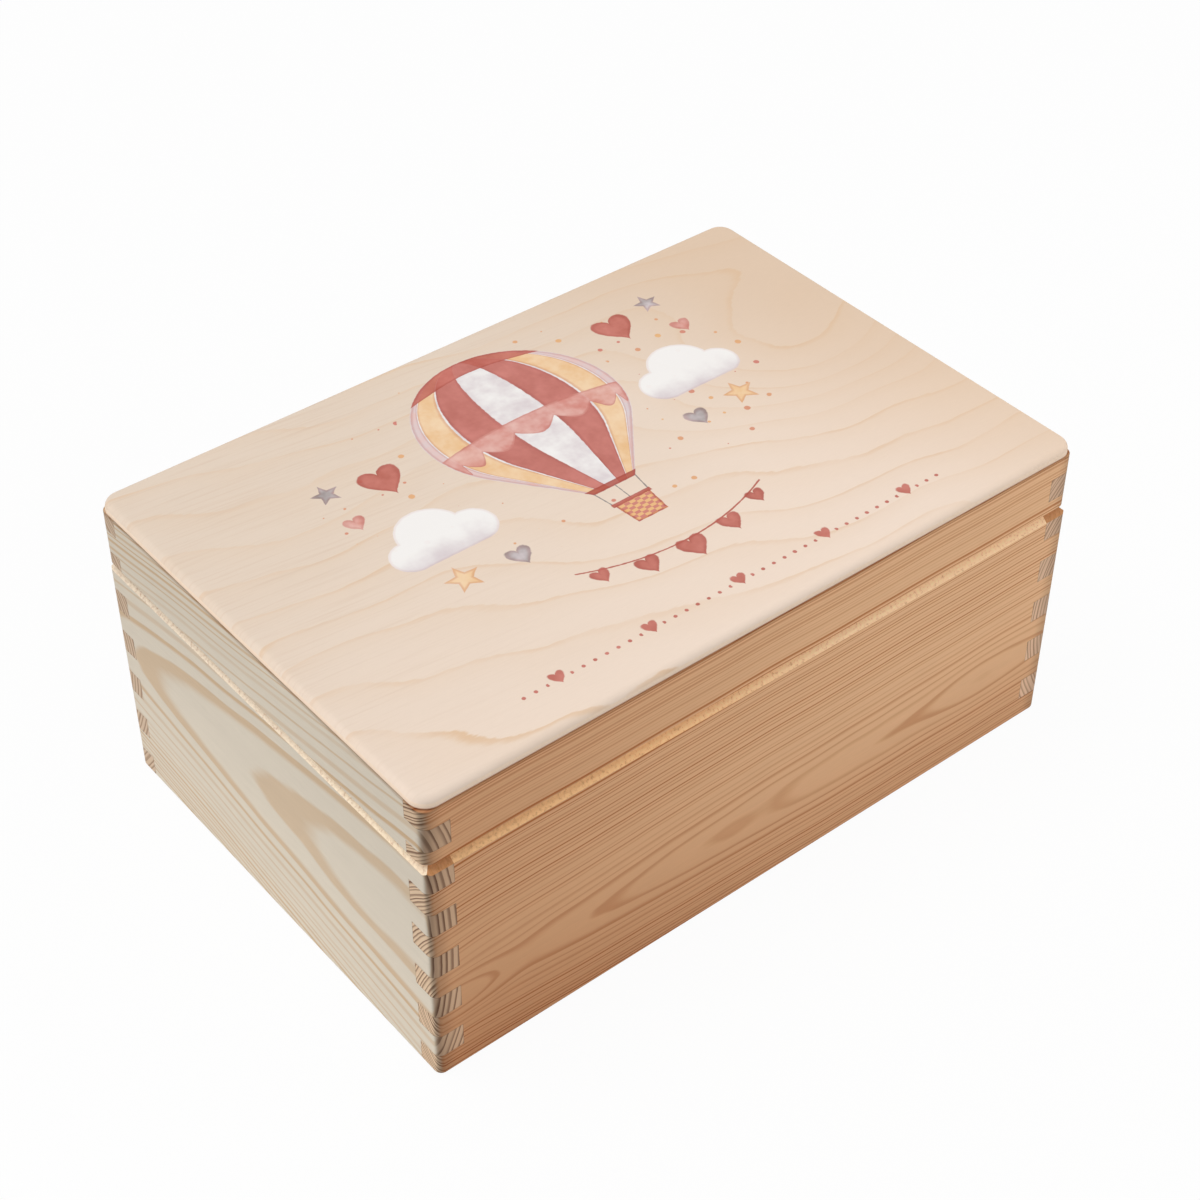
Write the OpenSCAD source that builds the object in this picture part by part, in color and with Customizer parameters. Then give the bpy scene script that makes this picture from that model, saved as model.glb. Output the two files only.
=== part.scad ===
// Keepsake box of pine boards with a hinged lid.
// The case and the frame of the lid are finger-jointed boards that stand round a
// plywood bottom and under a plywood top. A bevel along the seam gives the fingers a
// grip at the front. At the back it holds the barrels of two butt hinges and stops the
// opened lid.
// Origin: middle of the underside. +X runs along the front from left to right, +Y
// points to the back and +Z up. All sizes are in millimetres.

/* [Box] */
// Outside length, along the front
box_l = 300; // [220:1:420]
// Outside depth, from the front to the back
box_d = 200.5; // [140:0.5:300]
// Height of the case, from its underside to the seam
case_h = 105; // [60:0.5:180]
// Height of the lid's frame, from the seam to the top panel
lid_frame_h = 24.1; // [17:0.1:60]
// How far the front of the lid stands back from the front of the case
lid_set_back = 0.7; // [0:0.1:1.5]

/* [Boards] */
// Thickness of the front and back boards
front_t = 10.5; // [10:0.1:16]
// Thickness of the side boards
side_t = 11; // [8:0.1:16]
// Height of one finger of the corner joints
finger_h = 10.3; // [6:0.1:16]
// Height of the lid's lowest finger, the rest of one that the seam cuts through
lid_cut_finger_h = 5.9; // [3:0.1:10]

/* [Edges] */
// Radius of the case's upright corners
case_corner_r = 3; // [2:0.1:10]
// Radius of the upright corners of the lid's frame
lid_corner_r = 4.5; // [2:0.1:10]
// Radius round the foot of the case
foot_round = 1.5; // [0.5:0.1:1.9]
// Size of the bevel along the seam, on the case
grip_bevel = 3.8; // [2.8:0.1:4.4]
// Size of the bevel along the seam, on the front and sides of the lid
lid_seam_bevel = 0.3; // [0.2:0.1:1.5]
// Size of the bevel along the seam, on the back of the lid
lid_back_bevel = 2.6; // [2.5:0.1:3.6]
// Size of the bevel along the upper edge of the lid's frame
lid_top_bevel = 0.2; // [0.1:0.1:1]

/* [Bottom panel] */
// Thickness of the bottom panel
bottom_t = 4; // [3:0.1:8]
// Width of the ledge that the bottom panel is glued to
bottom_ledge = 5; // [3:0.1:7]
// Height of the bottom panel above the foot of the case
bottom_lift = 0.4; // [0.2:0.1:2]
// Radius of the corners that the cutter leaves in the rebate
rebate_corner_r = 6; // [2:0.5:12]
// Clearance round the bottom panel
bottom_fit = 0.1; // [0.05:0.05:0.3]

/* [Top panel] */
// Thickness of the top panel
top_t = 5; // [4.5:0.1:8]
// Radius of the top panel's corners
top_corner_r = 7; // [3:0.1:12]
// Radius along the upper edge of the top panel
top_round = 3; // [0.5:0.1:3.2]
// Size of the bevel along the lower edge of the top panel, which leaves a fine groove
top_under_bevel = 0.7; // [0.1:0.1:1]

/* [Hinges] */
// Distance from the middle of a hinge to the end of the box
hinge_inset = 60; // [30:1:90]
// Length of a hinge
hinge_l = 25; // [20:1:34]
// Number of knuckles in a hinge's barrel
knuckles = 5; // [3:2:7]
// Gap between neighbouring knuckles
knuckle_gap = 0.15; // [0.1:0.05:0.3]
// Radius of the barrel
barrel_r = 2.2; // [1.8:0.05:2.3]
// Distance from the barrel to the back face of the box
barrel_setback = 0.2; // [0.1:0.05:0.3]
// Clearance round the barrel in its slot in the wood
barrel_clearance = 0.25; // [0.2:0.05:0.5]
// Radius of the hinge pin
pin_r = 1; // [0.6:0.05:1.2]
// Running clearance round the hinge pin
pin_clearance = 0.05; // [0.03:0.01:0.1]
// Thickness of a leaf
leaf_t = 0.85; // [0.6:0.05:1.2]
// Gap between the leaves of a closed hinge
leaf_gap = 0.1; // [0.1:0.05:0.3]
// Width of the lip of wood between a leaf and the inside of the box
leaf_lip = 1; // [0.5:0.1:1.5]
// Clearance at the ends and the inner edge of a leaf in its mortise
leaf_clearance = 0.1; // [0.05:0.05:0.3]

/* [Screws] */
// Distance between the two screws of a leaf
screw_spacing = 15; // [8:0.5:15.5]
// Length of a screw, with its head
screw_l = 8; // [5:0.5:12]
// Radius of a screw's shank
screw_r = 1; // [0.6:0.05:1.2]
// Radius of a screw's countersunk head
screw_head_r = 1.85; // [1.5:0.05:1.9]
// Length of a screw's point
screw_point = 2; // [1:0.1:3]
// Clearance round a screw in its leaf and its hole
screw_clearance = 0.05; // [0.03:0.01:0.1]
// Width of each slot in the cross recess of a screw head
recess_w = 0.4; // [0.2:0.05:0.6]
// Depth of the cross recess
recess_depth = 0.5; // [0.3:0.05:0.7]

/* [Hidden] */

$fn = 64;
BEVEL = 4;       // sides of the circle whose corner cuts a 45 degree bevel
ROUND = 64;      // sides of the circle whose quarter cuts a rounded edge
LEFT = -1;
RIGHT = 1;
BELOW = -1;
ABOVE = 1;
past = 1;        // how far a cut runs past the face that it opens

seam_z = case_h;
inside_l = box_l - 2 * side_t;
inside_d = box_d - 2 * front_t;
lid_d = box_d - lid_set_back;

// What a block needs of an edge profile: the height, then the lower and the upper edge.
foot_edges = [case_h, foot_round, ROUND, 0, BEVEL];
grip_edges = [case_h, 0, BEVEL, grip_bevel, BEVEL];
lid_edges = [lid_frame_h, lid_seam_bevel, BEVEL, lid_top_bevel, BEVEL];
top_edges = [top_t, top_under_bevel, BEVEL, top_round, ROUND];

// The axis lies in the plane of the seam, a little inside the back face.
axis_inset = barrel_r + barrel_setback;
axis_y = box_d / 2 - axis_inset;
slot_r = barrel_r + barrel_clearance;
bore_r = pin_r + pin_clearance;
knuckle_pitch = hinge_l / knuckles;
knuckle_l = knuckle_pitch - knuckle_gap;
leaf_inner_y = box_d / 2 - front_t + leaf_lip;
leaf_outer_y = axis_y - slot_r;
screw_y = (leaf_inner_y + leaf_outer_y) / 2;
leaf_face = leaf_gap / 2;                 // height of a leaf's face over the plane of the seam
leaf_back = leaf_face + leaf_t;
screw_head_h = screw_head_r - screw_r;    // 90 degree countersink

// Heights at which the fingers of a corner joint meet, from 0 to the whole height. The
// last finger takes what is left over.
function finger_edges(height, first) =
  let (last = floor((height - first) / finger_h - 0.5))
  concat([0], [for (i = [0 : 1 : last]) first + i * finger_h], [height]);

case_fingers = finger_edges(case_h, finger_h);
lid_fingers = finger_edges(lid_frame_h, lid_cut_finger_h);

// ---- Shapes that the pieces share ----

// What a quarter round or a bevel of the given size takes off a square corner.
module edge_waste(size, sides) {
  difference() {
    square(size + past);
    circle(r = size, $fn = sides);
  }
}

// Section of a block with shaped edges, from its middle plane out to its face at w.
module half_section(w, edges) {
  difference() {
    square([w, edges[0]]);
    if (edges[1] > 0)
      translate([w - edges[1], edges[1]]) mirror([0, 1]) edge_waste(edges[1], edges[2]);
    if (edges[3] > 0)
      translate([w - edges[3], edges[0] - edges[3]]) edge_waste(edges[3], edges[4]);
  }
}

// A block with square upright corners, where the edges of its four sides meet in mitres.
module mitred_block(l, d, edges) {
  intersection() {
    rotate([90, 0, 90]) linear_extrude(l, center = true)
      for (side = [0, 1]) mirror([side, 0]) half_section(d / 2, edges);
    rotate([90, 0, 0]) linear_extrude(d, center = true)
      for (side = [0, 1]) mirror([side, 0]) half_section(l / 2, edges);
  }
}

// A block whose upright corners have radius r and whose edges run round them unbroken.
module rolled_block(l, d, r, edges) {
  rotate([90, 0, 90]) linear_extrude(l - 2 * r, center = true)
    for (side = [0, 1]) mirror([side, 0]) half_section(d / 2, edges);
  rotate([90, 0, 0]) linear_extrude(d - 2 * r, center = true)
    for (side = [0, 1]) mirror([side, 0]) half_section(l / 2, edges);
  for (mx = [0, 1], my = [0, 1])
    mirror([mx, 0, 0]) mirror([0, my, 0])
      translate([l / 2 - r, d / 2 - r, 0]) rotate_extrude(angle = 90) half_section(r, edges);
}

// The fingers with the given parity (0 for the lowest) at all four corners, as blocks.
module finger_blocks(fingers, parity) {
  for (i = [parity : 2 : len(fingers) - 2], x = [LEFT, RIGHT], y = [-1, 1])
    translate([x * (box_l - side_t) / 2, y * (box_d - front_t) / 2,
               (fingers[i] + fingers[i + 1]) / 2])
      cube([side_t, front_t, fingers[i + 1] - fingers[i]], center = true);
}

// A board along the front (side = -1) or the back (side = 1), which holds the even fingers.
module long_board(side, fingers) {
  height = fingers[len(fingers) - 1];
  difference() {
    translate([-box_l / 2, side * (box_d - front_t) / 2 - front_t / 2, 0])
      cube([box_l, front_t, height]);
    finger_blocks(fingers, 1);
  }
}

// A board at the left or the right, which holds the odd fingers.
module side_board(side, fingers) {
  height = fingers[len(fingers) - 1];
  difference() {
    translate([side * (box_l - side_t) / 2 - side_t / 2, -box_d / 2, 0])
      cube([side_t, box_d, height]);
    finger_blocks(fingers, 0);
  }
}

// ---- Case ----

// Everything that the case's boards lose to the rebate for the bottom panel.
module bottom_rebate() {
  depth = bottom_lift + bottom_t;
  translate([0, 0, -past])
    rolled_block(inside_l + 2 * bottom_ledge, inside_d + 2 * bottom_ledge, rebate_corner_r,
                 [depth + past, 0, BEVEL, 0, BEVEL]);
}

// Trims a board of the case to the outer form of the box and cuts the rebate.
module case_board() {
  color("burlywood") difference() {
    intersection() {
      children();
      rolled_block(box_l, box_d, case_corner_r, foot_edges);
      mitred_block(box_l, box_d, grip_edges);
    }
    bottom_rebate();
  }
}

module case_front_board() { case_board() long_board(-1, case_fingers); }

module case_back_board() {
  color("burlywood") difference() {
    case_board() long_board(1, case_fingers);
    hinge_mortises();
  }
}

module case_left_board() { case_board() side_board(LEFT, case_fingers); }

module case_right_board() { case_board() side_board(RIGHT, case_fingers); }

module case_bottom_panel() {
  reach = bottom_ledge - bottom_fit;
  color("wheat") translate([0, 0, bottom_lift])
    rolled_block(inside_l + 2 * reach, inside_d + 2 * reach, rebate_corner_r - bottom_fit,
                 [bottom_t, 0, BEVEL, 0, BEVEL]);
}

// ---- Lid ----

// The wedge that the back of the lid's frame loses, so that the opened lid comes to rest
// on the bevel of the case.
module back_wedge() {
  reach = lid_back_bevel + past;
  translate([-box_l / 2 - past, box_d / 2 - lid_back_bevel, seam_z]) rotate([90, 0, 90])
    linear_extrude(box_l + 2 * past)
      polygon([[-past, -past], [reach, -past], [reach, reach]]);
}

// Trims a board of the lid's frame to the outer form of the lid.
module lid_rail() {
  color("burlywood") difference() {
    translate([0, 0, seam_z]) intersection() {
      children();
      translate([0, lid_set_back / 2, 0]) rolled_block(box_l, lid_d, lid_corner_r, lid_edges);
    }
    back_wedge();
  }
}

module lid_front_rail() { lid_rail() long_board(-1, lid_fingers); }

module lid_back_rail() {
  color("burlywood") difference() {
    lid_rail() long_board(1, lid_fingers);
    hinge_mortises();
  }
}

module lid_left_rail() { lid_rail() side_board(LEFT, lid_fingers); }

module lid_right_rail() { lid_rail() side_board(RIGHT, lid_fingers); }

module lid_top_panel() {
  color("wheat") translate([0, lid_set_back / 2, seam_z + lid_frame_h])
    rolled_block(box_l, lid_d, top_corner_r, top_edges);
}

// ---- Hinges ----
// A hinge is drawn round its own middle: X along the axis, Y and Z from the axis.

module at_hinge(side) {
  translate([side * (box_l / 2 - hinge_inset), axis_y, seam_z]) children();
}

// A rod along X with its middle at the origin.
module rod(r, l) {
  rotate([0, 90, 0]) cylinder(r = r, h = l, center = true);
}

// Puts its children at both screws of a leaf, with +Z out of the leaf's face.
module at_screws(half) {
  for (x = [-1, 1])
    translate([x * screw_spacing / 2, screw_y - axis_y, half * leaf_face])
      mirror([0, 0, half == ABOVE ? 1 : 0]) children();
}

// The room that a screw takes in its leaf and in the wood, with its countersink.
module screw_hole() {
  head_r = screw_head_r + screw_clearance;
  shank_r = screw_r + screw_clearance;
  depth = screw_l + screw_clearance;
  rotate_extrude() polygon([
    [0, past], [head_r, past], [head_r, 0], [shank_r, -screw_head_h],
    [shank_r, -depth], [0, -depth]
  ]);
}

// What both hinges need cut from the wood on the two sides of the seam: the mortises of
// the leaves, the slots of the barrels and the holes of the screws.
module hinge_mortises() {
  l = hinge_l + 2 * leaf_clearance;
  inner = leaf_inner_y - leaf_clearance - axis_y;
  for (side = [LEFT, RIGHT]) at_hinge(side) {
    translate([-l / 2, inner, -leaf_back]) cube([l, -inner, 2 * leaf_back]);
    rod(slot_r, l);
    for (half = [BELOW, ABOVE]) at_screws(half) screw_hole();
  }
}

// One leaf with its knuckles, below or above the seam. The leaf below has the end knuckles.
module leaf(half) {
  first = half == BELOW ? 0 : 1;
  inner = leaf_inner_y - axis_y;
  color("goldenrod") difference() {
    union() {
      translate([-hinge_l / 2, inner, half == BELOW ? -leaf_back : leaf_face])
        cube([hinge_l, leaf_outer_y - leaf_inner_y, leaf_t]);
      for (i = [first : 2 : knuckles - 1])
        translate([(i - (knuckles - 1) / 2) * knuckle_pitch, 0, 0]) {
          rod(barrel_r, knuckle_l);
          translate([-knuckle_l / 2, -slot_r - leaf_t, half == BELOW ? -leaf_back : leaf_face])
            cube([knuckle_l, slot_r + leaf_t, leaf_t]);
        }
    }
    rod(bore_r, hinge_l + 2 * past);
    at_screws(half) screw_hole();
  }
}

module pin() {
  color("darkgoldenrod") rod(pin_r, hinge_l);
}

// The two countersunk screws of a leaf, each with a cross recess and a point.
module screws(half) {
  color("gold") at_screws(half) difference() {
    rotate_extrude() polygon([
      [0, 0], [screw_head_r, 0], [screw_r, -screw_head_h],
      [screw_r, screw_point - screw_l], [0, -screw_l]
    ]);
    for (turn = [0, 90]) rotate(turn) translate([0, 0, past / 2 - recess_depth / 2])
      cube([2 * screw_r, recess_w, recess_depth + past], center = true);
  }
}

case_front_board();
case_back_board();
case_left_board();
case_right_board();
case_bottom_panel();
lid_front_rail();
lid_back_rail();
lid_left_rail();
lid_right_rail();
lid_top_panel();
at_hinge(LEFT) leaf(BELOW);  // left_hinge_lower_leaf
at_hinge(LEFT) leaf(ABOVE);  // left_hinge_upper_leaf
at_hinge(LEFT) pin();  // left_hinge_pin
at_hinge(LEFT) screws(BELOW);  // left_hinge_lower_screws
at_hinge(LEFT) screws(ABOVE);  // left_hinge_upper_screws
at_hinge(RIGHT) leaf(BELOW);  // right_hinge_lower_leaf
at_hinge(RIGHT) leaf(ABOVE);  // right_hinge_upper_leaf
at_hinge(RIGHT) pin();  // right_hinge_pin
at_hinge(RIGHT) screws(BELOW);  // right_hinge_lower_screws
at_hinge(RIGHT) screws(ABOVE);  // right_hinge_upper_screws
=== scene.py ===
import math

import bpy
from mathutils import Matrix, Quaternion, Vector


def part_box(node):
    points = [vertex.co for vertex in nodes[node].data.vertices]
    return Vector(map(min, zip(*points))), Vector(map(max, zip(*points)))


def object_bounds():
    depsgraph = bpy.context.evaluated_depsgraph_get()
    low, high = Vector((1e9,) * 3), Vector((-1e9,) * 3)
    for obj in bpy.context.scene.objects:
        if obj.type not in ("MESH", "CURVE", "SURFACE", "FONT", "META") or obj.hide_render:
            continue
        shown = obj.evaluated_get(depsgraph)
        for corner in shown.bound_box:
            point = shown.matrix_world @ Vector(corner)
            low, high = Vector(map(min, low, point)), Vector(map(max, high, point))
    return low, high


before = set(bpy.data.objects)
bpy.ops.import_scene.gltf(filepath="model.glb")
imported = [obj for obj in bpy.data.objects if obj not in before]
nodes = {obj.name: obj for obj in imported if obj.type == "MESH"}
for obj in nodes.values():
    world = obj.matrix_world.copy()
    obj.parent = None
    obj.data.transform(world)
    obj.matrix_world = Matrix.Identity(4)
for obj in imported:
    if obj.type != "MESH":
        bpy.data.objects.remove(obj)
cad_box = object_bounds()


# ---- Camera ----
# The photograph is taken from the left of the box's front and from above, with a long
# lens. Place, aim and lens were found from the box's own straight edges.

EYE = Vector((-0.4291, -0.5318, 0.6585))
AIM = Vector((0.0097, 0.0086, 0.0600))
ROLL = math.radians(0.12)
LENS = 70.46
SENSOR_WIDTH = 36

camera = bpy.data.objects.new("camera", bpy.data.cameras.new("camera"))
bpy.context.scene.collection.objects.link(camera)
camera.data.lens = LENS
camera.data.sensor_width = SENSOR_WIDTH
camera.location = EYE
camera.rotation_mode = "QUATERNION"
camera.rotation_quaternion = (AIM - EYE).to_track_quat("-Z", "Y") @ Quaternion((0, 0, 1), ROLL)
bpy.context.scene.camera = camera
bpy.context.scene.view_settings.view_transform = "Standard"


# ---- Floor and light ----
# A plain white floor. Light comes softly from all round and, stronger, from a large
# window on the left, so the top is the brightest face and the front the darkest.

class Field:
    """A value that varies over a surface. Python's operators on it add Math nodes."""

    def __init__(self, finish, socket):
        self.finish = finish
        self.socket = socket

    def math(self, operation, other=0.0):
        return self.finish.make("Math", {"operation": operation}, {0: self, 1: other})

    def __add__(self, other):
        return self.math("ADD", other)

    def __mul__(self, other):
        return self.math("MULTIPLY", other)

    def __sub__(self, other):
        return self.math("SUBTRACT", other)

    def __truediv__(self, other):
        return self.math("DIVIDE", other)

    def __rsub__(self, other):
        return self.finish.make("Math", {"operation": "SUBTRACT"}, {0: other, 1: self})

    __radd__ = __add__
    __rmul__ = __mul__

    def __abs__(self):
        return self.math("ABSOLUTE")

    def rises(self, low, high):
        """0 below low, 1 above high and smooth between them."""
        return self.finish.make("MapRange", {"interpolation_type": "SMOOTHSTEP"},
                                {"Value": self, "From Min": low, "From Max": high})

    def falls(self, low, high):
        """1 below low, 0 above high and smooth between them."""
        return 1 - self.rises(low, high)

    def spans(self, low, high):
        """low where the field is 0 and high where it is 1."""
        return self * (high - low) + low


class Finish:
    """The shader tree of a new material or world."""

    def __init__(self, owner):
        owner.use_nodes = True
        self.owner = owner
        self.tree = owner.node_tree
        self.tree.nodes.clear()

    def make(self, kind, settings=(), inputs=(), output=0):
        """Adds a node with its settings and with the values or fields of its sockets."""
        node = self.tree.nodes.new("ShaderNode" + kind)
        for name, value in dict(settings).items():
            setattr(node, name, value)
        for name, value in dict(inputs).items():
            if isinstance(value, Field):
                self.tree.links.new(value.socket, node.inputs[name])
            else:
                node.inputs[name].default_value = value
        return Field(self, node.outputs[output]) if node.outputs else None

    def show(self, shader, kind="OutputMaterial"):
        """Ends the tree with what the material or the world shows."""
        self.make(kind, {}, {"Surface": shader})

    def parts(self, vector):
        """The X, Y and Z of a vector."""
        split = self.make("SeparateXYZ", {}, {0: vector})
        return [Field(self, output) for output in split.socket.node.outputs]

    def place(self):
        """The X, Y and Z of a spot in the box's frame, in millimetres."""
        return self.parts(self.scale(self.make("TexCoord", {}, {}, "Object"), MM))

    def facing(self):
        """The X, Y and Z of the way that the surface faces."""
        return self.parts(self.make("TexCoord", {}, {}, "Normal"))

    def vector(self, x, y, z):
        return self.make("CombineXYZ", {}, {0: x, 1: y, 2: z})

    def scale(self, vector, factor):
        return self.make("VectorMath", {"operation": "SCALE"}, {0: vector, "Scale": factor})

    def noise(self, x, y, z, seed=0.0, detail=2.0, roughness=0.5):
        """Smooth noise from about -1 to 1, whose waves are about one unit long."""
        wave = self.make("TexNoise", {"noise_dimensions": "4D"},
                         {"Vector": self.vector(x, y, z), "W": seed, "Scale": 1.0,
                          "Detail": detail, "Roughness": roughness})
        return (wave - 0.5) * 2

    def blend(self, amount, below, above, mode="MIX"):
        """The colour below where amount is 0, going over to the colour above where it is 1."""
        return self.make("Mix", {"data_type": "RGBA", "blend_type": mode},
                         {0: amount, 6: below, 7: above}, output=2)

    def surface(self, colour, roughness, relief, relief_mm, metallic=0.0, shine=0.5):
        """Shows a surface whose relief from 0 to 1 is relief_mm high."""
        bump = self.make("Bump", {}, {"Strength": 1.0, "Height": relief, "Distance": relief_mm / MM})
        self.show(self.make("BsdfPrincipled", {},
                            {"Base Color": colour, "Roughness": roughness, "Metallic": metallic,
                             "Specular IOR Level": shine, "Normal": bump}))

    def seen(self):
        """1 for a ray that the camera sees straight, in a mirror or through glass, or else 0."""
        rays = self.make("LightPath").socket.node.outputs
        straight = Field(self, rays["Is Camera Ray"])
        mirrored = straight.math("MAXIMUM", Field(self, rays["Is Glossy Ray"]))
        return mirrored.math("MAXIMUM", Field(self, rays["Is Transmission Ray"]))


MM = 1000
WHITE_LIGHT = (1, 1, 1, 1)

FLOOR_SIZE = 12
FLOOR_DROP = 0.0001
FLOOR_COLOUR = (0.76, 0.76, 0.76, 1)
FLOOR_GLOW = 0.95

bpy.ops.object.select_all(action="DESELECT")
bpy.ops.mesh.primitive_plane_add(size=FLOOR_SIZE, location=(0, 0, -FLOOR_DROP))
floor = bpy.context.object
floor.name = "floor"
bpy.ops.object.transform_apply(location=True, rotation=True, scale=True)
paper = Finish(bpy.data.materials.new("white_floor"))
matt = paper.make("BsdfDiffuse", {}, {"Color": FLOOR_COLOUR})
white = paper.make("Emission", {}, {"Color": WHITE_LIGHT, "Strength": 1.0})
paper.show(paper.make("MixShader", {}, {0: paper.seen() * FLOOR_GLOW, 1: matt, 2: white}))
floor.data.materials.append(paper.owner)

WORLD_LIGHT = 0.47
world = bpy.data.worlds.new("studio")
studio = Finish(world)
world_strength = studio.seen().spans(WORLD_LIGHT, 1)
background = studio.make("Background", {}, {"Color": WHITE_LIGHT, "Strength": world_strength})
studio.show(background, "OutputWorld")
bpy.context.scene.world = world


def window(name, place, aim, size, power, colour):
    """A square soft light at a place, turned to a point."""
    light = bpy.data.objects.new(name, bpy.data.lights.new(name, "AREA"))
    bpy.context.scene.collection.objects.link(light)
    light.data.size = size
    light.data.energy = power
    light.data.color = colour
    light.location = place
    light.rotation_mode = "QUATERNION"
    light.rotation_quaternion = (Vector(aim) - Vector(place)).to_track_quat("-Z", "Y")


window("left_window", place=(-1.2, 0.5, 3.4), aim=(0, 0, 0.08), size=2.4, power=70,
       colour=(1.0, 1.0, 1.0))
window("left_reflector", place=(-0.45, 0.0, 0.01), aim=(-0.15, 0, 0.02), size=0.3, power=0.4,
       colour=(1.0, 0.99, 0.97))
window("right_window", place=(0.85, -0.6, 0.4), aim=(0.2, 0, 0.07), size=0.4, power=2.7,
       colour=(1.0, 0.97, 0.93))


# ---- Pine boards ----
# The boards of the case and of the lid's frame are untreated sanded pine. One board was
# finger-jointed and glued, then the lid was sawn off, so a rail has its board's figure.

def rgb(red, green, blue):
    """A colour of the photograph's 0 to 255 scale, as the linear light that a shader takes."""
    shares = [value / 255 for value in (red, green, blue)]
    return [s / 12.92 if s < 0.04045 else ((s + 0.055) / 1.055) ** 2.4 for s in shares] + [1.0]


def give(node, finish):
    """Puts a finish on a CAD node."""
    slots = nodes[node].data.materials
    slots.clear()
    slots.append(finish.owner)


def thickness_of(node, axis):
    """How thick a CAD node is along an axis, 0 for X to 2 for Z, in millimetres."""
    low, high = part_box(node)
    return (high[axis] - low[axis]) * MM


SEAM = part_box("case_front_board")[1].z * MM
RAIL_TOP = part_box("lid_top_panel")[0].z * MM
HALF_LENGTH = cad_box[1].x * MM
HALF_DEPTH = cad_box[1].y * MM
SIDE_T = thickness_of("case_left_board", 0)
FRONT_T = thickness_of("case_front_board", 1)
FINGER = 10.3
LID_CUT_FINGER = 5.9
BEVEL = 3.8

# How the wood grew: how far its years lean and ripple in millimetres, by how many years
# their widths wander, and where in a year, as shares of it, the dark wood of a face fades
# and that of an end sets in and fades.
LEAN = 0.5
RIPPLE = 0.16
UNEVEN_YEARS = 0.58
LATE_FADES = (0.88, 1.0)
END_LATE_SETS_IN = (0.37, 0.82)
END_LATE_FADES = (0.92, 1.0)

# From where to where something changes, in millimetres: the contrast away from the pith's
# height, the painted shade of the light's falloff along and up the board, the darker lines
# near the foot, the line of glue round the end of a finger, and the painted shade of a
# corner inwards from the side. The painted shade under the panel begins and is full so far
# below the top of the lid's frame, and the lines grow fainter so far below and above the seam.
PITH_REACH = (5, 60)
PAINTED_FALLOFF_ALONG = (-60, 230)
PAINTED_FALLOFF_UP = (-5, 62)
DARK_FOOT = (5, 35)
GLUE_LINE = (0.04, 0.2)
PAINTED_CORNER_REACH = (1.5, 9)
PAINTED_UNDER_PANEL_LOW = 1.3
PAINTED_UNDER_PANEL_FULL = 0.4
FADE_TO_LID = 8
STEP = 0.01

# How strong the glue, the painted shade beside a corner and the painted shade across a
# corner's arris are, how high the relief is in millimetres, and how far a face has to turn
# to the end to be end grain.
GLUE_COVER = 0.7
PAINTED_CORNER_STRENGTH = 0.28
ARRIS_SHADE = 0.2
PINE_RELIEF = 0.05
FACING_END = (0.3, 0.85)

GLUE_BROWN = rgb(96, 66, 48)
PAINTED_UNDER_PANEL_TINT = (0.66, 0.57, 0.51, 1)
PAINTED_FALLOFF_TINT = (0.5, 0.2, 0.02, 1)
PAINTED_LIGHT_FAR = rgb(255, 233, 199)
FRESH_END = rgb(216, 152, 98)
SAW_FUZZ = rgb(188, 114, 56)


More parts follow.
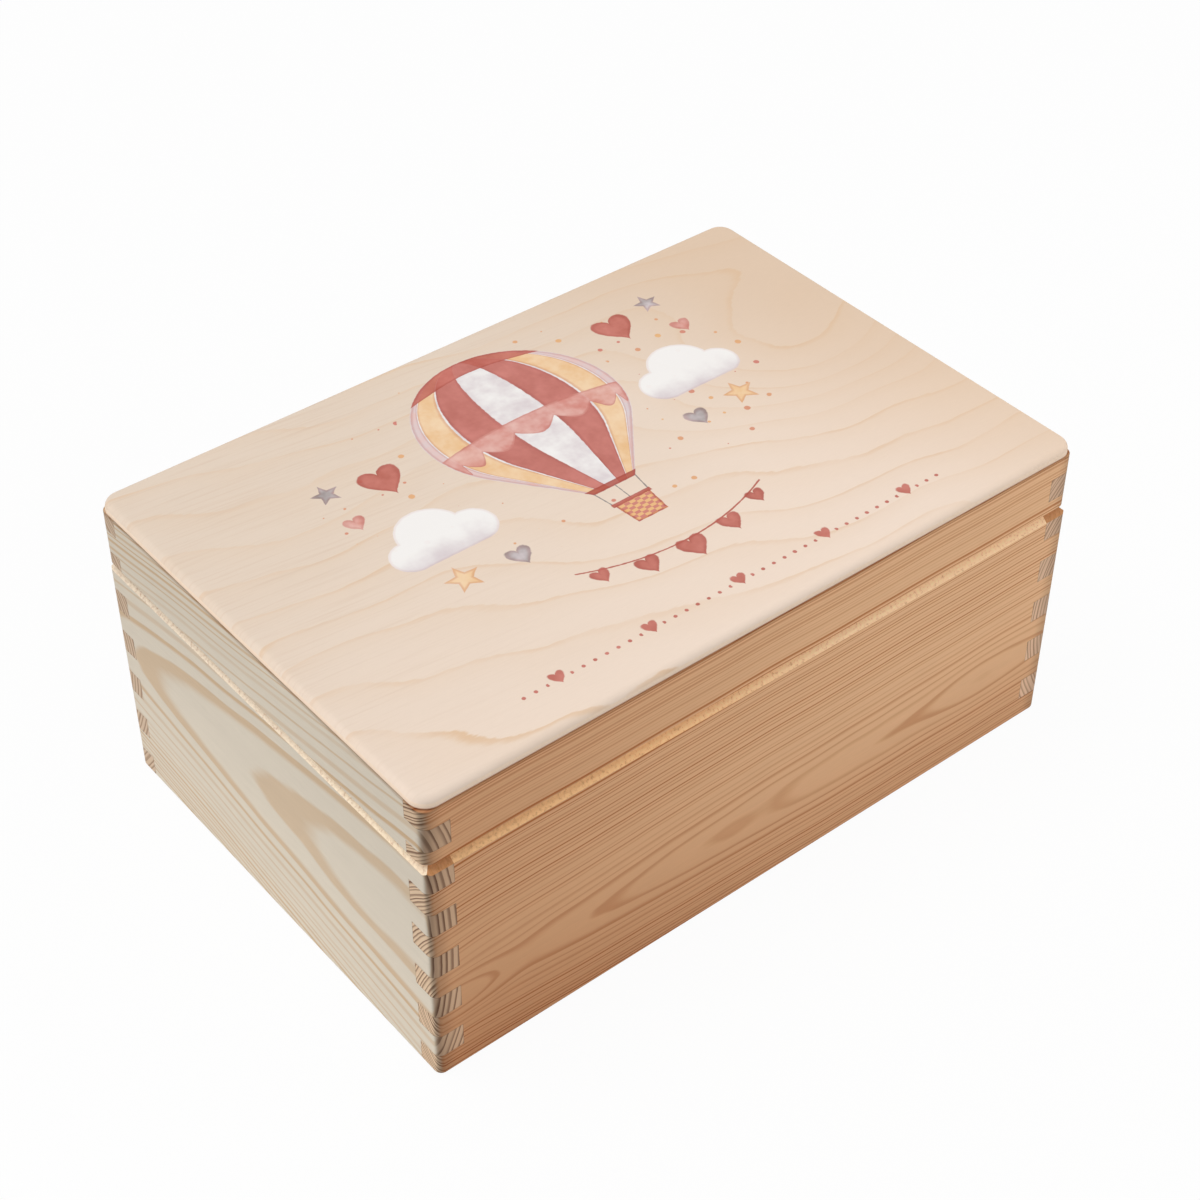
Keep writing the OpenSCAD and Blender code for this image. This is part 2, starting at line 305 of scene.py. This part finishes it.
def pine(name, grain, thickness, pith_out, pith_height, taper, ring, colours, seed,
         ease=0.0, spread=(1.0, 1.0), crowding=0.0, fan=0.0, late_start=(0.3, 0.7),
         late_ramp=0.3, contrast=(0.8, 1.0), fainter_lid=0.0, bumps=(), painted_falloff=0.0,
         painted_top_shade=0.0):
    """Solid pine whose years are shells round a pith outside the board's outer face.

    grain is the axis that the fibres follow. Lengths are in millimetres, and a place that
    is divided by 55 gives a noise with waves 55 mm long. taper is how fast the pith comes
    nearer along the board and ease how that wears off. spread draws the shells together
    below and above the pith, crowding does so more and more away from it, and fan is the
    share of this that is lost per metre along the board. late_start is the share of a
    year, from and to, at which its dark wood begins, and late_ramp the share over which it
    sets in. contrast is how dark it is at the pith's height and far from it, and
    fainter_lid the share of this that the lid's rail lacks. A bump is the place along the
    board and its height, its reach and by how much the shells bulge outwards there.
    painted_falloff is how strongly painted shade darkens the board at the start and at the
    bottom, and how much darker its lines get near the foot, and painted_top_shade how much
    darker painted shade makes the wood towards the top.
    """
    wood = Finish(bpy.data.materials.new(name))
    pale, late, end_pale, end_late, cut_tint_and_painted_light = colours
    x, y, height = wood.place()
    facing = wood.facing()
    if grain == "X":
        along = x + HALF_LENGTH
        depth = HALF_DEPTH - abs(y)
        end_facing = abs(facing[0])
    else:
        along = HALF_DEPTH - y
        depth = HALF_LENGTH - abs(x)
        end_facing = abs(facing[1])

    # The shells of the years, and how far each spot is into its year.
    lean = wood.noise(along / 55, height / 90, seed, seed, detail=1)
    reach = depth + pith_out - along * taper + along * along * ease + lean * LEAN
    for bump_along, bump_height, size, bulge in bumps:
        aside = along - bump_along
        above = (height - bump_height) * 2
        reach = reach + (aside * aside + above * above).math("SQRT").falls(0, size) * bulge
    rise = height - pith_height + wood.noise(along / 80, seed, 3.0, seed, detail=1) * 2
    from_pith = abs(rise)
    is_above = rise.rises(-2, 2)
    rise = from_pith * (from_pith * crowding + spread[0] + is_above * (spread[1] - spread[0]))
    rise = rise * (1 - along * (fan / MM))
    radius = (reach * reach + rise * rise).math("SQRT")
    ripple = wood.noise(along / 22, depth / 5, height / 5, seed + 5, detail=1)
    years = (radius + ripple * RIPPLE) / ring
    years = years + wood.noise(years * 0.75, seed, 7.0, seed, detail=0) * UNEVEN_YEARS
    season = years.math("FRACT")
    year = years.math("FLOOR")

    # Each year has its own strength and start of its dark wood.
    chance = wood.make("TexWhiteNoise", {"noise_dimensions": "2D"},
                       {"Vector": wood.vector(year, seed, 0.0)})
    other_chance = wood.make("TexWhiteNoise", {"noise_dimensions": "2D"},
                             {"Vector": wood.vector(year, seed + 1, 0.0)})
    spell = wood.noise(years / 5, seed, 9.0, seed, detail=1)
    strength = chance.spans(0.22, 1.07) * (spell * 0.6 + 0.95)
    start = other_chance.spans(*late_start)
    latewood = season.rises(start, start + late_ramp) * season.falls(*LATE_FADES)
    dark = from_pith.rises(*PITH_REACH).spans(*contrast)
    dark = dark + height.falls(*DARK_FOOT) * painted_falloff * 1.5
    dark = dark * (1 - height.rises(SEAM - FADE_TO_LID, SEAM + FADE_TO_LID) * fainter_lid)
    dark = dark * latewood * strength

    # Fibres and the faint clouds of a sanded face, and painted shade: darker towards the top,
    # and towards the start and the bottom of the board.
    fibre = wood.noise(along / 26, depth * 1.6, height * 1.6, seed + 2, detail=3, roughness=0.6)
    cloud = wood.noise(along / 70, depth / 9, height / 16, seed + 9, detail=2)
    hair = wood.noise(along / 7, depth * 3.2, height * 3.2, seed + 7, detail=2)
    shade = 1 + fibre * 0.07 + hair * 0.05 + cloud * 0.04 - height.rises(0, 120) * painted_top_shade
    painted_falloff_mask = (along.falls(*PAINTED_FALLOFF_ALONG) + height.falls(*PAINTED_FALLOFF_UP) * 0.65) * painted_falloff
    face = wood.blend(dark, pale, late)
    face = wood.blend(painted_falloff_mask, face, PAINTED_FALLOFF_TINT, "MULTIPLY")
    face = wood.scale(face, shade)

    # End grain drinks light: darker and greyer, with crisp lines and fine pores. Painted shade
    # darkens it further towards the top.
    crisp = season.rises(*END_LATE_SETS_IN) * season.falls(*END_LATE_FADES)
    crisp = crisp * chance.spans(0.6, 1.05)
    pore = wood.noise(along / 8, depth * 3.5, height * 3.5, seed + 4, detail=2)
    end = wood.blend(crisp, end_pale, end_late)
    end = wood.scale(end, 1.165 - height * 0.0019 + pore * 0.07)
    is_end = end_facing.rises(*FACING_END)

    # Hairlines of glue frame the ends of the fingers.
    in_lid = (height - SEAM - LID_CUT_FINGER) * height.rises(SEAM, SEAM + STEP)
    in_case = height * height.falls(SEAM, SEAM + STEP)
    row = (in_lid + in_case) / FINGER + 0.5
    to_row = abs(row.math("FRACT") - 0.5) * FINGER
    to_edge = to_row.math("MINIMUM", thickness - depth)
    glue = to_edge.falls(*GLUE_LINE) * is_end
    end = wood.blend(glue * GLUE_COVER, end, GLUE_BROWN)
    colour = wood.blend(is_end, face, end)

    # The bevel under the lid shows the sawn cut, rougher than the sanded faces and mottled.
    # Its colour is partly the cut's own and partly painted light: warmer and brighter than the
    # faces, most of all towards the far end of the board, for the light that bounces under the
    # lid and falls on it from above. It faces half upwards, where the flat rim beside it faces
    # straight up.
    cut = height.rises(SEAM - BEVEL - 0.1, SEAM - BEVEL + 0.1) * height.falls(SEAM, SEAM + 0.05)
    cut = cut * facing[2].rises(0.3, 0.6) * facing[2].falls(0.8, 0.95)
    fuzz = wood.noise(along / 1.4, depth / 0.9, seed, seed + 6, detail=3, roughness=0.7)
    cut_colour_and_painted_light = wood.blend(along.rises(90, 190) * 0.5, cut_tint_and_painted_light, PAINTED_LIGHT_FAR)
    cut_colour_and_painted_light = wood.blend(end_facing.rises(0.3, 0.6), cut_colour_and_painted_light, FRESH_END)
    colour = wood.blend(cut * 0.9, colour, cut_colour_and_painted_light)
    colour = wood.blend(cut * fuzz.rises(0.0, 0.4) * 0.4, colour, SAW_FUZZ)
    # Mottle of the cut, with painted light that grows along the board.
    mottle_and_painted_light = cut * (fuzz * -0.3 - 0.01 + along.rises(0, 110) * 0.08)

    # Painted shade darkens the upright corners: across the turn of each corner's arris, and
    # beside the corners on the front and the back, away from the bevel.
    arris = end_facing * end_facing * (1 - end_facing * end_facing) * 4
    from_side = HALF_LENGTH - abs(x)
    painted_corner_shade = from_side.falls(*PAINTED_CORNER_REACH) * abs(facing[1]).rises(0.2, 0.7) * (1 - cut) * PAINTED_CORNER_STRENGTH
    colour = wood.scale(colour, 1 + mottle_and_painted_light - arris * ARRIS_SHADE - painted_corner_shade)

    # Under the panel a narrow band is darkened by painted shade.
    painted_under_panel_shade = height.rises(RAIL_TOP - PAINTED_UNDER_PANEL_LOW, RAIL_TOP - PAINTED_UNDER_PANEL_FULL) * (0.75 + cloud * 0.3)
    colour = wood.blend(painted_under_panel_shade, colour, PAINTED_UNDER_PANEL_TINT, "MULTIPLY")
    relief = fibre * 0.5 - latewood * 0.3 + pore * is_end * 0.6 + cut * fuzz * 2
    wood.surface(colour, 0.7 - dark * 0.08, relief, PINE_RELIEF, shine=0.15)
    return wood


# Each pine: the face between and on the lines, the end between and on them, and the sawn
# cut of the bevel, the cut's own colour with painted light in it.
ORANGE_PINE = (rgb(232, 187, 145), rgb(184, 114, 62), rgb(214, 186, 156), rgb(112, 78, 57),
               rgb(255, 206, 150))
PALE_PINE = (rgb(220, 209, 192), rgb(205, 175, 140), rgb(206, 171, 140), rgb(114, 79, 57),
             rgb(232, 215, 193))
BACK_PINE = (rgb(232, 205, 172), rgb(205, 160, 116), rgb(200, 176, 152), rgb(152, 124, 102),
             rgb(250, 218, 178))
RIGHT_PINE = BACK_PINE[:2] + (rgb(222, 187, 158), rgb(168, 132, 104), BACK_PINE[4])

front_pine = pine("pine_front", "X", FRONT_T, pith_out=38.62, pith_height=36,
                  taper=0.04205, ease=0.0000766, ring=1.45, colours=ORANGE_PINE, seed=3.0,
                  spread=(1.15, 1.0), late_start=(0.3, 0.58), late_ramp=0.33,
                  contrast=(0.5, 1.35), fainter_lid=0.42, painted_falloff=0.34,
                  bumps=((4, 34, 40, -3.8), (152, 36, 24, 0.7), (264, 38, 48, -1.2)))
left_pine = pine("pine_left", "Y", SIDE_T, pith_out=125.63, pith_height=64, taper=0.0484,
                 ease=0.000121, ring=2.5, colours=PALE_PINE, seed=11.0,
                 spread=(1.35, 1.05), crowding=0.006, fan=2.1, late_start=(0.45, 0.62),
                 late_ramp=0.2, contrast=(0.92, 1.15), painted_top_shade=0.14)
back_pine = pine("pine_back", "X", FRONT_T, pith_out=60, pith_height=58, taper=-0.02,
                 ring=2.1, colours=BACK_PINE, seed=23.0)
right_pine = pine("pine_right", "Y", SIDE_T, pith_out=70, pith_height=50, taper=0.02,
                  ring=1.9, colours=RIGHT_PINE, seed=31.0)
for side, board in (("front", front_pine), ("left", left_pine), ("back", back_pine),
                    ("right", right_pine)):
    give(f"case_{side}_board", board)
    give(f"lid_{side}_rail", board)


# ---- Plywood panels ----
# The bottom and the top are thin birch plywood with a pale rotary-cut veneer. The bottom
# is glued into its rebate, the top on the lid's frame with its upper edge rounded.

VENEER_NEAR = rgb(227, 209, 191)
VENEER_FAR = rgb(240, 220, 203)
VENEER_RIGHT = rgb(228, 202, 177)
VENEER_LINE = rgb(224, 188, 150)
VENEER_STREAK = rgb(214, 187, 163)
PLY_EDGE = rgb(247, 226, 204)
PLY_CORE = rgb(232, 204, 176)
PLY_GLUE = rgb(196, 160, 130)
PLY_PAINTED_UNDERSIDE_SHADE = rgb(178, 134, 106)
SWIRL_PLACE = (118, 12)
SWIRL_REACH = 95
SWIRL_LIFT = 62
VENEER_YEAR = 21
PLY_ROUGHNESS = 0.65
PLY_RELIEF = 0.03
PLY_SHINE = 0.3


def birch(name, panel, seed):
    """Birch plywood: the veneer's faint flame on its faces and three plies on its edge.

    Returns the finish with its colour and relief, so that a print can be laid over it.
    """
    ply = Finish(bpy.data.materials.new(name))
    x, y, height = ply.place()
    up = abs(ply.facing()[2])

    # The veneer is peeled from a turning log, so its years meander like contour lines,
    # close round a swirl where a branch grew.
    wave = ply.noise(x / 130, y / 75, seed, seed, detail=2, roughness=0.4)
    aside = x - SWIRL_PLACE[0]
    beyond = (y - SWIRL_PLACE[1]) * 1.3
    swirl = (aside * aside + beyond * beyond).math("SQRT").falls(0, SWIRL_REACH)
    flame = (y + x * 0.24 + wave * 46 + swirl * SWIRL_LIFT) / VENEER_YEAR
    flame = flame + ply.noise(x / 9, y / 2, seed, seed + 1, detail=3) * 0.06
    season = flame.math("FRACT")
    year = flame.math("FLOOR")
    strength = ply.make("TexWhiteNoise", {"noise_dimensions": "2D"},
                        {"Vector": ply.vector(year, seed, 0.0)})
    fading = ply.noise(x / 38, y / 24, seed, seed + 8, detail=1).rises(-0.5, 0.5)
    line = season.rises(0.86, 0.965) * season.falls(0.97, 1.0) * strength.spans(0.15, 0.75)
    tint = season.rises(0.3, 1.0) * season.falls(0.975, 1.0) * 0.12
    line = line * fading.spans(0.1, 1) + tint
    fleck = ply.noise(x / 5, y * 1.6, seed, seed + 2, detail=3, roughness=0.7)
    streak = ply.noise(x / 45, (y + x * 0.1) / 1.3, seed, seed + 5, detail=3)
    cloud = ply.noise(x / 60, y / 30, seed, seed + 3, detail=2)
    veneer = ply.blend((x * 0.4 - y).rises(-130, 120), VENEER_NEAR, VENEER_FAR)
    veneer = ply.blend((x + y * 0.35).rises(30, 160), veneer, VENEER_RIGHT)
    veneer = ply.blend(line, veneer, VENEER_LINE)
    streaky = streak.rises(-0.1, 0.5) * (x - y).falls(-200, 60) * 0.42
    veneer = ply.blend(streaky, veneer, VENEER_STREAK)
    shade = 1 + fleck * 0.035 + cloud * 0.02 - (x + y).rises(60, 200) * 0.035
    veneer = ply.scale(veneer, shade)

    # On the edge the middle ply shows its end grain between two glue lines.
    level = (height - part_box(panel)[0].z * MM) / thickness_of(panel, 2)
    from_middle = abs(level - 0.5)
    core = from_middle.falls(0.17, 0.2)
    glue = abs(from_middle - 0.19).falls(0.01, 0.03)
    stripe = ply.noise(x / 1.5, y / 1.5, height / 4, seed + 6, detail=2)
    edge = ply.blend(core * (0.4 + stripe * 0.3), PLY_EDGE, PLY_CORE)
    edge = ply.blend(glue * 0.3, edge, PLY_GLUE)
    # The lowest ply is darkened by painted shade under the panel's edge.
    edge = ply.blend(level.falls(0.16, 0.28) * 0.8, edge, PLY_PAINTED_UNDERSIDE_SHADE)
    colour = ply.blend(up.rises(0.15, 0.35), edge, veneer)
    return ply, colour, fleck * 0.5, (x, y)


bottom_ply, bottom_colour, bottom_relief, _ = birch("birch_bottom", "case_bottom_panel", 41.0)
bottom_ply.surface(bottom_colour, PLY_ROUGHNESS, bottom_relief, PLY_RELIEF, shine=PLY_SHINE)
give("case_bottom_panel", bottom_ply)

top_ply, veneer_colour, top_relief, (lid_x, lid_y) = birch("birch_top", "lid_top_panel", 5.0)


# ---- Print on the lid ----
# A picture printed in flat inks on the bare veneer in the manner of water colour: a
# striped balloon between clouds, hearts and stars, a garland and a dotted line under it.

TERRACOTTA = rgb(178, 85, 70)
SALMON = rgb(206, 122, 110)
BLUSH = rgb(233, 190, 180)
PEACH = rgb(244, 214, 176)
GOLD = rgb(233, 184, 124)
WHITE = rgb(246, 244, 242)
LILAC = rgb(216, 205, 209)
GREY = rgb(136, 128, 126)
INK_COVER = 0.93
INK_EDGE = 0.16
INK_RIM = (-1.3, -0.3)
RAGGED = 0.28

ragged = top_ply.noise(lid_x / 2.2, lid_y / 2.2, 0.0, 60.0, detail=2) * RAGGED
broad_wash = top_ply.noise(lid_x / 13, lid_y / 13, 0.0, 61.0, detail=3, roughness=0.6)
fine_wash = top_ply.noise(lid_x / 4, lid_y / 4, 0.0, 62.0, detail=2)
wash = (broad_wash + fine_wash * 0.3).rises(-0.55, 0.6)


def disc(x, y, radius):
    return (x * x + y * y).math("SQRT") - radius


def heart(x, y, size):
    x = abs(x) / size
    y = y / size * 1.25 - x.math("SQRT")
    return ((x * x + y * y).math("SQRT") - 1) * (size * 0.5)


def star(x, y, size):
    """A star of five points, found on one half point that all the others mirror."""
    edge = math.radians(22.6)
    turn = x.math("ARCTAN2", y).math("PINGPONG", math.pi / 5)
    reach = (x * x + y * y).math("SQRT")
    across = reach * turn.math("SINE")
    up = reach * turn.math("COSINE")
    return across * math.cos(edge) + (up - size) * math.sin(edge)


def joined(*shapes):
    """Where any of the shapes is."""
    whole = shapes[0]
    for shape in shapes[1:]:
        whole = whole.math("MINIMUM", shape)
    return whole


def common(*shapes):
    """Where all of the shapes are."""
    whole = shapes[0]
    for shape in shapes[1:]:
        whole = whole.math("MAXIMUM", shape)
    return whole


def paint(picture, shape, ink, second_ink, amount=wash, rim=0.35):
    """Lays a shape over the picture in two inks that run into each other.

    A shape is the distance from its own edge in millimetres, below 0 inside it. rim is how
    much darker the ink dries along the edge.
    """
    shape = shape + ragged
    wet = top_ply.blend(amount, ink, second_ink)
    wet = top_ply.blend(shape.rises(*INK_RIM) * rim, wet, SALMON, "MULTIPLY")
    return top_ply.blend(shape.falls(-INK_EDGE, INK_EDGE) * INK_COVER, picture, wet)


# The balloon: a round top and straight sides down to the mouth.
BALLOON_MIDDLE = 44
BALLOON_RADIUS = 42
BALLOON_SLANT = math.radians(38)
MOUTH = -56
out = abs(lid_x)
up = lid_y - BALLOON_MIDDLE
round_side = disc(out, up, BALLOON_RADIUS)
straight_side = out * math.cos(BALLOON_SLANT) - up * math.sin(BALLOON_SLANT) - BALLOON_RADIUS
is_straight = (out * math.sin(BALLOON_SLANT) + up * math.cos(BALLOON_SLANT)).math("LESS_THAN", 0)
balloon = round_side + (straight_side - round_side) * is_straight
balloon = common(balloon, MOUTH - up)

# Its gores are alike in width on the round balloon, so they narrow towards its outline. A
# gore is counted from the middle, and its cloth is as wide as GORE_WIDTH of it.
GORES = 7
GORE_MM = 11
GORE_WIDTH = 0.94
round_width = (BALLOON_RADIUS ** 2 - up * up).math("MAXIMUM", 1).math("SQRT")
straight_width = up * math.tan(BALLOON_SLANT) + BALLOON_RADIUS / math.cos(BALLOON_SLANT)
is_low = up.math("LESS_THAN", -BALLOON_RADIUS * math.sin(BALLOON_SLANT))
width = round_width + (straight_width - round_width) * is_low
share = (out / width.math("MAXIMUM", 1)).math("MINIMUM", 1)
gore = share.math("ARCSINE") * (GORES / math.pi)
level = up + share * share * 5

# Dots of confetti lie all round it, each somewhere in its own square cell.
CELL = 11
FIELD_MIDDLE = (1, 28)
FIELD_HALF = (98, 60)
BALLOON_GAP = 5
column = lid_x / CELL
row = lid_y / CELL
cell = top_ply.vector(column.math("FLOOR"), row.math("FLOOR"), 0.0)
chances = top_ply.parts(top_ply.make("TexWhiteNoise", {"noise_dimensions": "2D"},
                                     {"Vector": cell}, "Color"))
dot = disc((column.math("FRACT") - 0.25 - chances[0] * 0.5) * CELL,
           (row.math("FRACT") - 0.25 - chances[1] * 0.5) * CELL,
           chances[2] * 1.5 - 0.2)
field = disc((lid_x - FIELD_MIDDLE[0]) / FIELD_HALF[0],
             (lid_y - FIELD_MIDDLE[1]) / FIELD_HALF[1], 1) * FIELD_HALF[1]
dots = common(dot, field, BALLOON_GAP - balloon)
picture = paint(veneer_colour, dots, SALMON, GOLD, chances[1], rim=0)

# White cloth shows at the rim and between the coloured gores. A cap, a valance with
# scallops and a band round the mouth lie over them.
VALANCE_TOP = -1
VALANCE_FOOT = -8
SCALLOP = 6
CAP = 34
MOUTH_BAND = 3
picture = paint(picture, balloon, WHITE, LILAC, rim=0.2)
cloth = balloon + 0.3
for start, ink, second_ink in ((0.53, TERRACOTTA, SALMON), (1.53, PEACH, GOLD)):
    end = start + GORE_WIDTH
    strip = common(cloth, (start - gore) * GORE_MM, (gore - end) * GORE_MM)
    picture = paint(picture, strip, ink, second_ink)
picture = paint(picture, common(cloth, (2.53 - gore) * GORE_MM), LILAC, BLUSH)
scallops = abs((gore * math.pi).math("COSINE")) * SCALLOP
valance = common(cloth, level - VALANCE_TOP, VALANCE_FOOT - scallops - level)
picture = paint(picture, valance, BLUSH, SALMON)
picture = paint(picture, common(balloon, CAP - level), TERRACOTTA, SALMON)
picture = paint(picture, common(balloon, up - MOUTH - MOUTH_BAND), TERRACOTTA, TERRACOTTA)

# The ropes and the woven basket, which widens upwards to its rim, hang from the mouth.
BASKET = -27.5
BASKET_HALF = (7.4, 6.3)
BASKET_RIM = 6.2
STRAND = (2.4, 1.5)
low = lid_y - BASKET
ropes = joined(abs(out - 7.2 - low * 0.15) - 0.25, out - 0.22)
picture = paint(picture, common(ropes, abs(low - 11) - 4.8), GREY, GREY, rim=0)
weave = ((lid_x / STRAND[0]).math("FLOOR") + (lid_y / STRAND[1]).math("FLOOR")) / 2
basket = common(out - BASKET_HALF[0] - low * 0.1, abs(low) - BASKET_HALF[1])
picture = paint(picture, basket, SALMON, GOLD, weave.math("FRACT") * 2, rim=0.8)
picture = paint(picture, common(out - 8.9, abs(low - BASKET_RIM) - 1.0), TERRACOTTA, SALMON)

# The cloud, hearts and stars beside the balloon are the same on both sides, but higher on
# the right.
RIGHT_LIFT = 23
side = lid_y - lid_x.math("GREATER_THAN", 0) * RIGHT_LIFT
cloud_foot = common(abs(out - 67.5) - 13.5, abs(side + 2.6) - 4.8)
cloud = joined(disc(out - 81, side - 1, 8.5), disc(out - 68, side - 8, 13.5),
               disc(out - 54, side - 2, 9.5), cloud_foot)
cloud_shade = ((side + 9) / -16 + 0.85 + broad_wash * 0.7).rises(0, 1)
picture = paint(picture, cloud, WHITE, LILAC, cloud_shade, rim=0.16)
for form, across, height, size, ink, second_ink in (
        (heart, 64, 40, 8.5, TERRACOTTA, SALMON), (heart, 86, 27, 4.2, BLUSH, SALMON),
        (heart, 51, -24, 5, GREY, LILAC), (star, 85, 49, 6, GREY, LILAC),
        (star, 74, -20, 7.5, GOLD, PEACH)):
    picture = paint(picture, form(out - across, side - height, size), ink, second_ink)

# A garland of hearts hangs on a bent string.
STRING_LOW = 52
STRING_BEND = 0.0052
STRING_HALF = 43
string = lid_y + STRING_LOW - out * out * STRING_BEND
string = common(abs(string) - 0.35, out - STRING_HALF)
picture = paint(picture, string, TERRACOTTA, TERRACOTTA, rim=0)
garland = joined(heart(lid_x, lid_y + 58.5, 6), heart(out - 19, lid_y + 56.0, 4.8),
                 heart(out - 36, lid_y + 50.0, 3.8))
picture = paint(picture, garland, TERRACOTTA, SALMON)

# Along the front runs a line of dots, broken by small hearts.
LINE = -81
LINE_HALF = 97
DOT_EVERY = 5
HEART_EVERY = 40
to_dot = lid_x.math("PINGPONG", DOT_EVERY / 2)
to_heart = lid_x.math("PINGPONG", HEART_EVERY / 2)
line_dots = common(disc(to_dot, lid_y - LINE, 0.75), 4.6 - to_heart)
small_hearts = heart(to_heart, lid_y - LINE, 3)
dotted = common(joined(line_dots, small_hearts), out - LINE_HALF)
picture = paint(picture, dotted, TERRACOTTA, SALMON, rim=0)

on_top = top_ply.facing()[2].rises(0.9, 0.97)
top_colour = top_ply.blend(on_top, veneer_colour, picture)
top_ply.surface(top_colour, PLY_ROUGHNESS, top_relief, PLY_RELIEF, shine=PLY_SHINE)
give("lid_top_panel", top_ply)


# ---- Hinges ----
# Two small butt hinges of bright brass-plated steel, let into both edges of the seam at
# the back, each with a pin and four countersunk screws.

PLATE_RELIEF = 0.01


def plate(name, colour, roughness):
    """Rolled and polished metal with fine brushing along the hinge."""
    metal = Finish(bpy.data.materials.new(name))
    x, y, z = metal.place()
    brush = metal.noise(x / 3, y * 9, z * 9, 1.0, detail=2)
    cloud = metal.noise(x / 4, y / 4, z / 4, 2.0, detail=2)
    tone = metal.scale(metal.vector(*colour[:3]), 1 + cloud * 0.08)
    metal.surface(tone, roughness + brush * 0.06 + cloud * 0.05, brush, PLATE_RELIEF, metallic=1.0)
    return metal


hinge_brass = plate("hinge_brass", rgb(226, 186, 110), 0.24)
screw_brass = plate("screw_brass", rgb(218, 180, 112), 0.3)
for side in ("left", "right"):
    for piece in ("lower_leaf", "upper_leaf", "pin"):
        give(f"{side}_hinge_{piece}", hinge_brass)
    for piece in ("lower_screws", "upper_screws"):
        give(f"{side}_hinge_{piece}", screw_brass)
